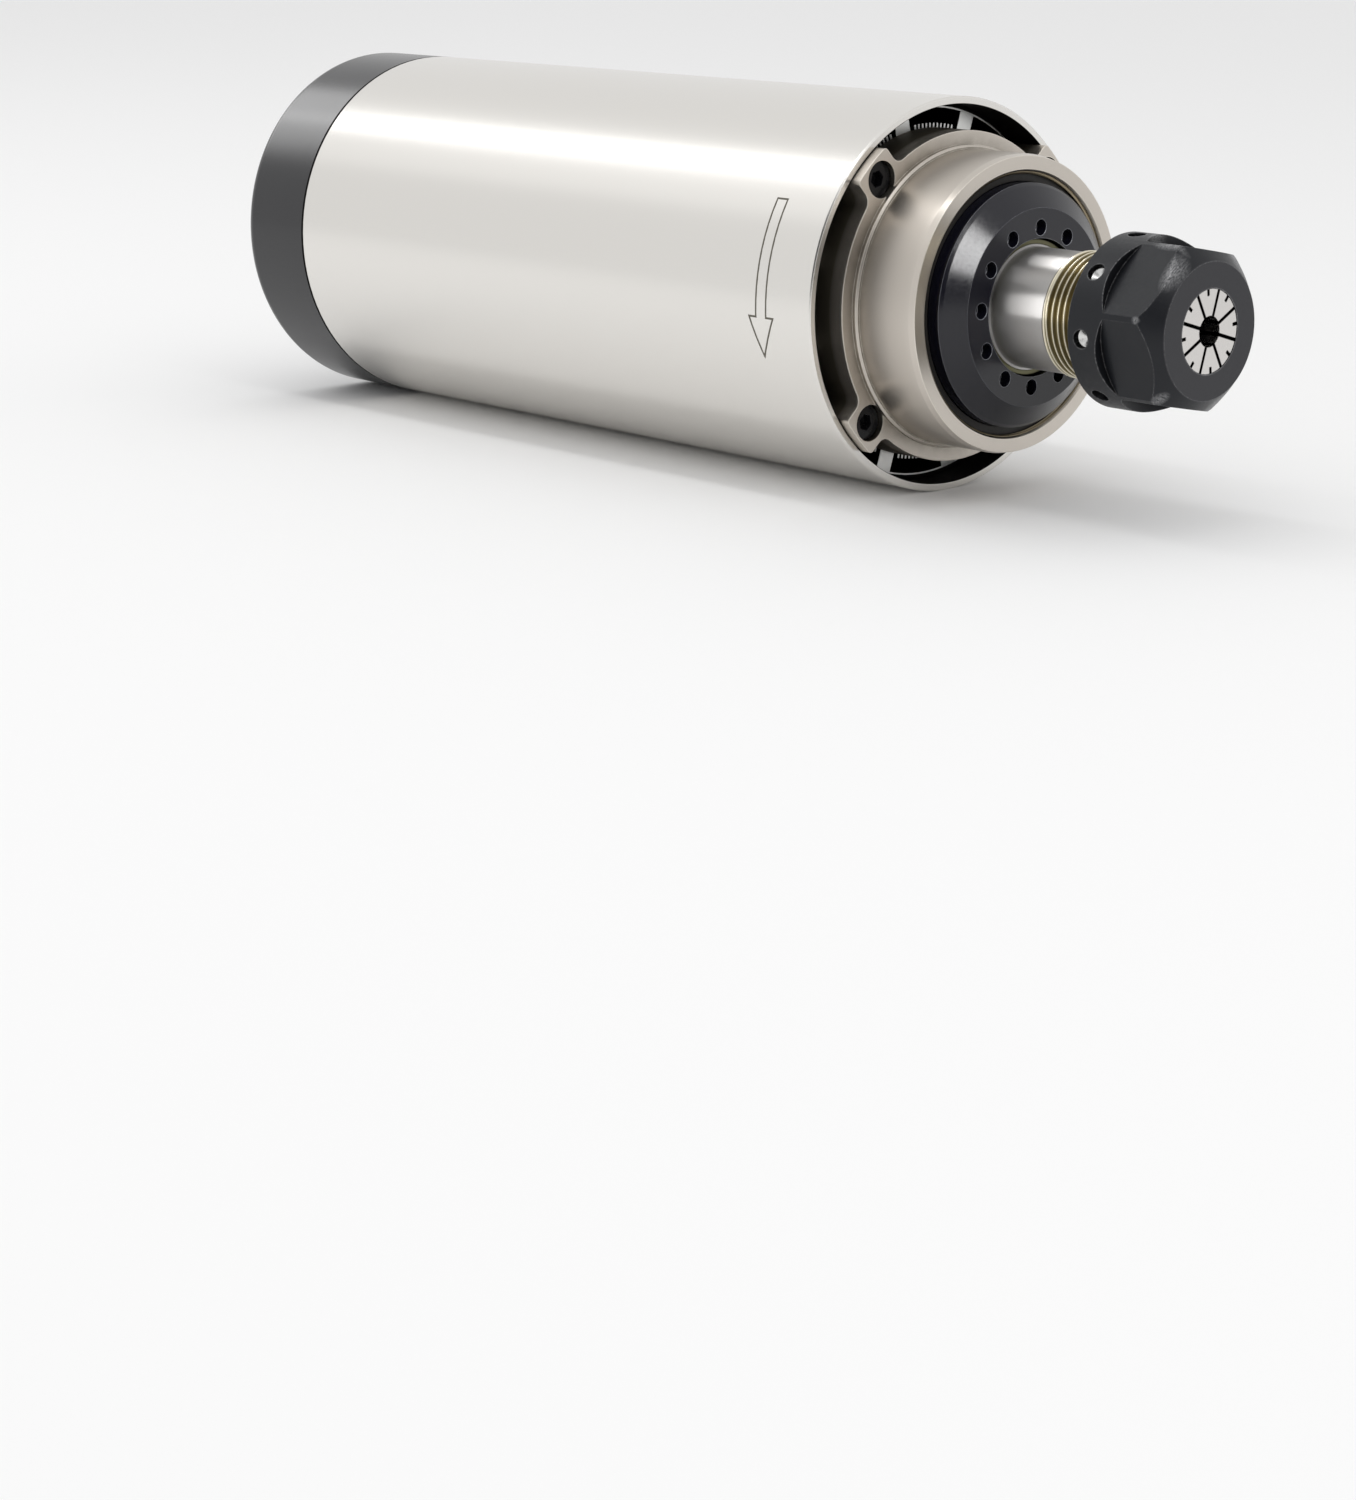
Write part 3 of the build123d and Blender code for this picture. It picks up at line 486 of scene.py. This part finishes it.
def collet_finish():
    """Bright ground steel, with painted shade along the slots and notches."""
    steel = (0.68, 0.66, 0.64)
    slot_shade = (0.008, 0.008, 0.008)
    finish = turned_metal("collet_steel", steel, 0.24)
    half = math.pi / COLLET_SLOTS
    lines = []
    for first, inner in ((COLLET_SLOT_ANGLE, 0.0), (COLLET_NOTCH_ANGLE, COLLET_NOTCH_REACH)):
        turn = finish.math("SUBTRACT", finish.angle, math.radians(first))
        turn = finish.math("WRAP", turn, half, -half)
        aside = finish.math("MULTIPLY", finish.radius, finish.math("SINE", turn))
        line = finish.ramp(finish.math("ABSOLUTE", aside), COLLET_LINE * MM,
                           COLLET_LINE_CORE * COLLET_LINE * MM)
        beyond = finish.math("GREATER_THAN", finish.radius, inner * MM)
        lines.append(finish.math("MULTIPLY", line, beyond))
    # Painted shade that widens the dark of the slots and notches
    slot_shade_mask = finish.math("MAXIMUM", *lines)
    finish.to("Base Color", finish.mix(slot_shade_mask, steel, slot_shade))
    return finish


def screw_finish():
    """Black oxide with a dull shine."""
    finish = plain("screw_black", (0.006, 0.006, 0.007), 0.0, 0.24)
    finish.shader.inputs["Specular IOR Level"].default_value = 0.25
    return finish


# Finishes, and the pieces that wear them
sleeve_steel = sleeve_finish()
nickel_grey = nickel_finish()
bare_steel = turned_metal("bare_steel", (0.66, 0.66, 0.65), 0.22)
bright_steel = turned_metal("bright_steel", (0.72, 0.72, 0.71), 0.24)
ground_steel = shaft_finish()
collet_steel = collet_finish()
bearing_steel = turned_metal("bearing_steel", (0.72, 0.72, 0.73), 0.12)
mouth_steel = turned_metal("mouth_steel", (0.30, 0.25, 0.17), 0.3)
gloss_black = gloss_finish()
cap_black = rear_cap_finish()
oxide_black = nut_finish()
screw_black = screw_finish()
blasted_aluminium = jacket_finish()
cast_aluminium = plain("cast_aluminium", (0.68, 0.68, 0.68), 1.0, 0.5, 0.00003, 1200)
rubber_black = plain("rubber_black", (0.012, 0.010, 0.008), 0.0, 0.6)
bronze = turned_metal("bronze", (0.13, 0.125, 0.075), 0.3)
brass = turned_metal("brass", (0.75, 0.57, 0.28), 0.25)
core_steel = turned_metal("core_steel", (0.30, 0.31, 0.32), 0.45, 0.00005)
copper_enamel = plain("copper_enamel", (0.55, 0.22, 0.09), 0.6, 0.3, 0.00008, 700)
moulded_black = plain("moulded_black", (0.025, 0.025, 0.027), 0.0, 0.45)
socket_nickel = turned_metal("socket_nickel", (0.70, 0.69, 0.67), 0.2)
contact_gold = turned_metal("contact_gold", (0.9, 0.7, 0.35), 0.2)
engraved = plain("engraved_line", (0.115, 0.105, 0.080), 0.0, 0.6)

DRESS = {
    "outer_sleeve": sleeve_steel,
    "finned_jacket": blasted_aluminium,
    "front_flange": nickel_grey,
    "flange_screws": screw_black,
    "rear_cap_screws": screw_black,
    "front_cap": gloss_black,
    "nose_seal": rubber_black,
    "labyrinth_ring": bronze,
    "spindle_shaft": ground_steel,
    "collet": collet_steel,
    "collet_nut": oxide_black,
    "rear_cap": cap_black,
    "cooling_fan": moulded_black,
    "power_socket_insulator": moulded_black,
    "power_socket_shell": socket_nickel,
    "power_socket_pins": contact_gold,
    "stator_core": core_steel,
    "rotor_core": core_steel,
    "stator_winding": copper_enamel,
    "rear_end_bell": cast_aluminium,
    "rotor_end_rings": cast_aluminium,
    "front_bearing_cages": brass,
    "rear_bearing_cages": brass,
}
# The bearings' rings and balls end with these words; all other pieces are bare steel
BEARING_WORDS = ("_rings", "_balls")


def dress_nodes():
    """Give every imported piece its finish."""
    for name, thing in nodes.items():
        finish = DRESS.get(name)
        if finish is None:
            finish = bearing_steel if name.endswith(BEARING_WORDS) else bare_steel
        thing.data.materials.clear()
        thing.data.materials.append(finish.material)


def add_object(name, data):
    """A new object in the scene."""
    thing = bpy.data.objects.new(name, data)
    bpy.context.scene.collection.objects.link(thing)
    return thing


def place_piece(form, mesh, body, finish, smooth=SMOOTH_ANGLE):
    """Write a form into its mesh and put it into the scene as a piece of a body."""
    bmesh.ops.recalc_face_normals(form, faces=form.faces)
    form.to_mesh(mesh)
    form.free()
    piece = add_object(mesh.name, mesh)
    mesh.materials.clear()
    mesh.materials.append(finish.material)
    mesh.shade_smooth()
    mesh.set_sharp_from_angle(angle=math.radians(smooth))
    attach(piece, body)
    return piece


def polar(x, radius, angle):
    """A point in metres from x and radius in millimetres and an angle in radians."""
    return Vector((x * MM, radius * MM * math.cos(angle), radius * MM * math.sin(angle)))


def add_thread(form, start, end, pitch, radius, depth):
    """Add a screw surface to a form, with its grooves running out at both ends."""
    steps = THREAD_STEPS
    per_turn = len(THREAD_PROFILE)
    rows = (math.ceil((end - start) / pitch) + 2) * per_turn
    grid = []
    for step in range(steps):
        angle = 2 * math.pi * step / steps
        column = []
        for row in range(rows):
            phase, share = THREAD_PROFILE[row % per_turn]
            x = start + (row // per_turn - 1 + phase + step / steps) * pitch
            x = min(max(x, start), end)
            grown = min(1.0, min(x - start, end - x) / (THREAD_RUN_OUT * pitch))
            column.append(form.verts.new(polar(x, radius - depth * share * grown, angle)))
        grid.append(column)
    for step in range(steps):
        here = grid[step]
        there = grid[(step + 1) % steps]
        # The last column meets the first one a whole turn further along
        lead = per_turn if step == steps - 1 else 0
        for row in range(rows - 1 - lead):
            form.faces.new((here[row], here[row + 1], there[row + 1 + lead], there[row + lead]))
        for row in range(rows - 1 - lead, rows - 1):
            if there[-1] is not here[row]:
                form.faces.new((here[row], here[row + 1], there[-1]))
    bmesh.ops.remove_doubles(form, verts=form.verts, dist=WELD)
    bmesh.ops.dissolve_degenerate(form, edges=form.edges, dist=SLIVER)


def thread_shaft():
    """The shaft with a real thread in place of its plain end."""
    mesh = nodes["spindle_shaft"].data.copy()
    mesh.name = "threaded_shaft"
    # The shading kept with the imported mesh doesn't fit once its faces change
    if "custom_normal" in mesh.attributes:
        mesh.attributes.remove(mesh.attributes["custom_normal"])
    form = bmesh.new()
    form.from_mesh(mesh)
    low = (THREAD_START - THREAD_SLACK) * MM
    high = (THREAD_END + THREAD_SLACK) * MM
    crest = (THREAD_CREST - CREST_SLACK) * MM
    plain_faces = [face for face in form.faces
                   if all(low < v.co.x < high and math.hypot(v.co.y, v.co.z) > crest
                          for v in face.verts)]
    bmesh.ops.delete(form, geom=plain_faces, context="FACES")
    add_thread(form, THREAD_START + THREAD_MARGIN, THREAD_END - THREAD_MARGIN, THREAD_PITCH,
               THREAD_CREST, THREAD_DEPTH)
    for end in (THREAD_START, THREAD_END):
        rims = [edge for edge in form.edges if edge.is_boundary
                and abs(edge.verts[0].co.x - end * MM) < THREAD_SLACK * MM]
        bmesh.ops.bridge_loops(form, edges=rims)
    shaft = place_piece(form, mesh, "spindle", ground_steel,
                        SHAFT_SMOOTH_ANGLE)
    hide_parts("spindle_shaft")


def thread_mouth():
    """The last turns of the thread that shows in the mouth of the nose ring."""
    mesh = bpy.data.meshes.new("mouth_thread")
    form = bmesh.new()
    add_thread(form, MOUTH_THREAD_START, MOUTH_THREAD_END, MOUTH_THREAD_PITCH,
               MOUTH_THREAD_CREST, MOUTH_THREAD_DEPTH)
    bmesh.ops.bridge_loops(form, edges=[edge for edge in form.edges if edge.is_boundary])
    place_piece(form, mesh, "housing", mouth_steel)


def offset_corner(before, corner, after, reach):
    """A corner of an outline moved sideways by a reach, to the left of its run."""
    first = (corner - before).normalized()
    second = (after - corner).normalized()
    side = Vector((-first.y - second.y, first.x + second.x)).normalized()
    mitre = max(MITRE_LIMIT, side.dot(Vector((-first.y, first.x))))
    return corner + side * (reach / mitre)


def arrow_outline(radius):
    """The arrow's corners unrolled from the sleeve: X, and the way round it."""
    shaft_low = ARROW_MIDDLE - ARROW_SHAFT_HALF
    shaft_high = ARROW_MIDDLE + ARROW_SHAFT_HALF
    corners = [
        (shaft_low, ARROW_TAIL_ANGLE),
        (shaft_high, ARROW_TAIL_ANGLE),
        (shaft_high, ARROW_HEAD_ANGLE),
        (ARROW_MIDDLE + ARROW_HEAD_HALF, ARROW_HEAD_ANGLE),
        (ARROW_MIDDLE, ARROW_TIP_ANGLE),
        (ARROW_MIDDLE - ARROW_HEAD_HALF, ARROW_HEAD_ANGLE),
        (shaft_low, ARROW_HEAD_ANGLE),
    ]
    return [Vector((x, math.radians(angle) * radius)) for x, angle in corners]


def engrave_arrow():
    """The outline of the turning arrow, flush with the sleeve."""
    radius = body_radius / MM
    flat = arrow_outline(radius)
    count = len(flat)
    sides = []
    for reach in (-ARROW_LINE / 2, ARROW_LINE / 2):
        sides.append([offset_corner(flat[k - 1], flat[k], flat[(k + 1) % count], reach)
                      for k in range(count)])
    mesh = bpy.data.meshes.new("turning_arrow")
    form = bmesh.new()
    rings = []
    for k in range(count):
        following = (k + 1) % count
        pieces = max(1, math.ceil((flat[following] - flat[k]).length / ARROW_STEP))
        for piece in range(pieces):
            left, right = [side[k].lerp(side[following], piece / pieces) for side in sides]
            ring = []
            for spot, lift in ((left, ARROW_LIFT), (right, ARROW_LIFT),
                               (right, -ARROW_ROOT), (left, -ARROW_ROOT)):
                angle = spot.y / radius
                reach = min(radius + lift, (radius - BOX_MARGIN) / abs(math.cos(angle)))
                ring.append(form.verts.new(polar(spot.x, reach, angle)))
            rings.append(ring)
    for k, ring in enumerate(rings):
        following = rings[(k + 1) % len(rings)]
        for corner in range(4):
            beside = (corner + 1) % 4
            form.faces.new((ring[corner], ring[beside], following[beside], following[corner]))
    place_piece(form, mesh, "housing", engraved)


def drill_dimples():
    """The bright cones at the bottom of the nut's drilled dimples."""
    mesh = bpy.data.meshes.new("dimple_cones")
    form = bmesh.new()
    steps = DIMPLE_STEPS
    along = Vector((1, 0, 0))
    levels = [(DIMPLE_RADIUS, DIMPLE_FLOOR), (DIMPLE_RADIUS, DIMPLE_RIM), *DIMPLE_CONE]
    for k in range(DIMPLE_COUNT):
        angle = math.radians(DIMPLE_ANGLE + k * 360 / DIMPLE_COUNT)
        outward = Vector((0, math.cos(angle), math.sin(angle)))
        around = Vector((0, -math.sin(angle), math.cos(angle)))
        rings = []
        for reach, height in levels:
            ring = []
            for step in range(steps):
                turn = 2 * math.pi * step / steps
                spot = (along * (DIMPLE_X + reach * math.cos(turn)) + outward * height
                        + around * reach * math.sin(turn))
                ring.append(form.verts.new(spot * MM))
            rings.append(ring)
        tip = form.verts.new((along * DIMPLE_X + outward * DIMPLE_TIP) * MM)
        for outer, inner in zip(rings, rings[1:]):
            for step in range(steps):
                following = (step + 1) % steps
                form.faces.new((outer[step], outer[following], inner[following], inner[step]))
        for step in range(steps):
            form.faces.new((rings[-1][step], rings[-1][(step + 1) % steps], tip))
        form.faces.new(rings[0])
    place_piece(form, mesh, "nut", bright_steel)


def aim(thing, target, direction, distance):
    """Place an object at a distance from a point, facing back to it."""
    way = Vector(direction).normalized()
    thing.location = Vector(target) + way * distance
    thing.rotation_mode = "QUATERNION"
    thing.rotation_quaternion = way.to_track_quat("Z", "Y")


def panel_light(name, target, direction, distance, size, power, lit=(), unlit=()):
    """A soft rectangular light that looks at a point from a direction.

    With lit, only those pieces take its light, and with unlit all but those do.
    """
    data = bpy.data.lights.new(name, "AREA")
    data.shape = "RECTANGLE"
    data.size, data.size_y = size
    data.energy = power
    light = add_object(name, data)
    aim(light, target, direction, distance)
    if lit or unlit:
        receivers = bpy.data.collections.new(name)
        for piece in lit or unlit:
            receivers.objects.link(bpy.data.objects[piece])
        for receiver in receivers.collection_objects:
            receiver.light_linking.link_state = "INCLUDE" if lit else "EXCLUDE"
        light.light_linking.receiver_collection = receivers


def pale_floor():
    """A wide pale floor that the body lies on."""
    bpy.ops.mesh.primitive_plane_add(size=FLOOR_SIZE, location=(0, 0, floor_height))
    floor = bpy.context.object
    floor.name = "floor"
    pale = bpy.data.materials.new("floor_pale")
    pale.use_nodes = True
    shader = pale.node_tree.nodes["Principled BSDF"]
    shader.inputs["Base Color"].default_value = (FLOOR_TONE, FLOOR_TONE, FLOOR_TONE, 1)
    shader.inputs["Roughness"].default_value = 0.9
    shader.inputs["Specular IOR Level"].default_value = 0.1
    floor.data.materials.append(pale)


def surround():
    """Even white light from all sides."""
    world = bpy.data.worlds.new("surround")
    world.use_nodes = True
    backing = world.node_tree.nodes["Background"]
    backing.inputs["Color"].default_value = (1.0, 1.0, 1.0, 1)
    backing.inputs["Strength"].default_value = SURROUND_STRENGTH
    bpy.context.scene.world = world


def dark_card():
    """A soft-edged dark screen behind the camera that only shows in reflections."""
    mesh = bpy.data.meshes.new("dark_card")
    form = bmesh.new()
    bmesh.ops.create_circle(form, cap_ends=True, segments=CARD_STEPS, radius=CARD_REACH)
    form.to_mesh(mesh)
    form.free()
    card = add_object("dark_card", mesh)
    aim(card, (0, 0, 0), CARD_DIRECTION, CARD_DISTANCE)
    card.visible_camera = False
    card.visible_diffuse = False
    card.visible_shadow = False
    finish = Finish("dark_card", (0.004, 0.004, 0.005), 0.0, 1.0)
    across = finish.add("ShaderNodeVectorMath", {"operation": "LENGTH"})
    finish.join(finish.place, across.inputs[0])
    finish.to("Alpha", finish.ramp(across.outputs["Value"], CARD_REACH, CARD_CORE * CARD_REACH))
    mesh.materials.append(finish.material)


def panel_lights():
    """Long panels over the body, and small ones for the caps and the shaft."""
    panel_light("top_strip", (0.1, 0, 0), (0, -0.29, 1), 0.85, (3.2, 0.10), 3.0,
                unlit=("threaded_shaft",))
    panel_light("side_wash", (0.1, 0, 0), (0, -0.68, 1), 0.85, (3.2, 0.40), 0.75)
    panel_light("rear_cap_kicker", (-0.182, -0.029, 0.027), (-0.82, -0.12, 0.57), 0.8,
                (0.42, 0.42), 1.6, lit=("rear_cap",))
    panel_light("front_cap_kicker", (0.022, -0.018, 0.013), (0.84, -0.18, 0.51), 0.8,
                (0.35, 0.35), 5.0, lit=("front_cap",))
    panel_light("shaft_side_kicker", (0.030, -0.011, 0.004), (-0.66, -0.66, 0.16), 0.4,
                (0.5, 0.26), 1.35, lit=("threaded_shaft",))
    panel_light("shaft_top_kicker", (0.030, -0.007, 0.010), (-0.62, 0.22, 0.70), 0.4,
                (0.17, 0.35), 1.15, lit=("threaded_shaft",))


def photo_camera():
    """The camera at the photograph's viewing angle."""
    data = bpy.data.cameras.new("photo_camera")
    data.sensor_width = SENSOR_WIDTH
    data.sensor_fit = "AUTO"
    data.lens = CAMERA_LENS
    data.clip_start = CLIP_NEAR
    data.clip_end = CLIP_FAR
    camera = add_object("photo_camera", data)
    camera.location = CAMERA_PLACE
    camera.rotation_euler = (math.radians(90 - CAMERA_ELEVATION), 0, math.radians(CAMERA_AZIMUTH))
    bpy.context.scene.camera = camera


dress_nodes()
thread_shaft()
thread_mouth()
engrave_arrow()
drill_dimples()
pale_floor()
surround()
dark_card()
panel_lights()
photo_camera()
bpy.context.scene.view_settings.view_transform = "Standard"
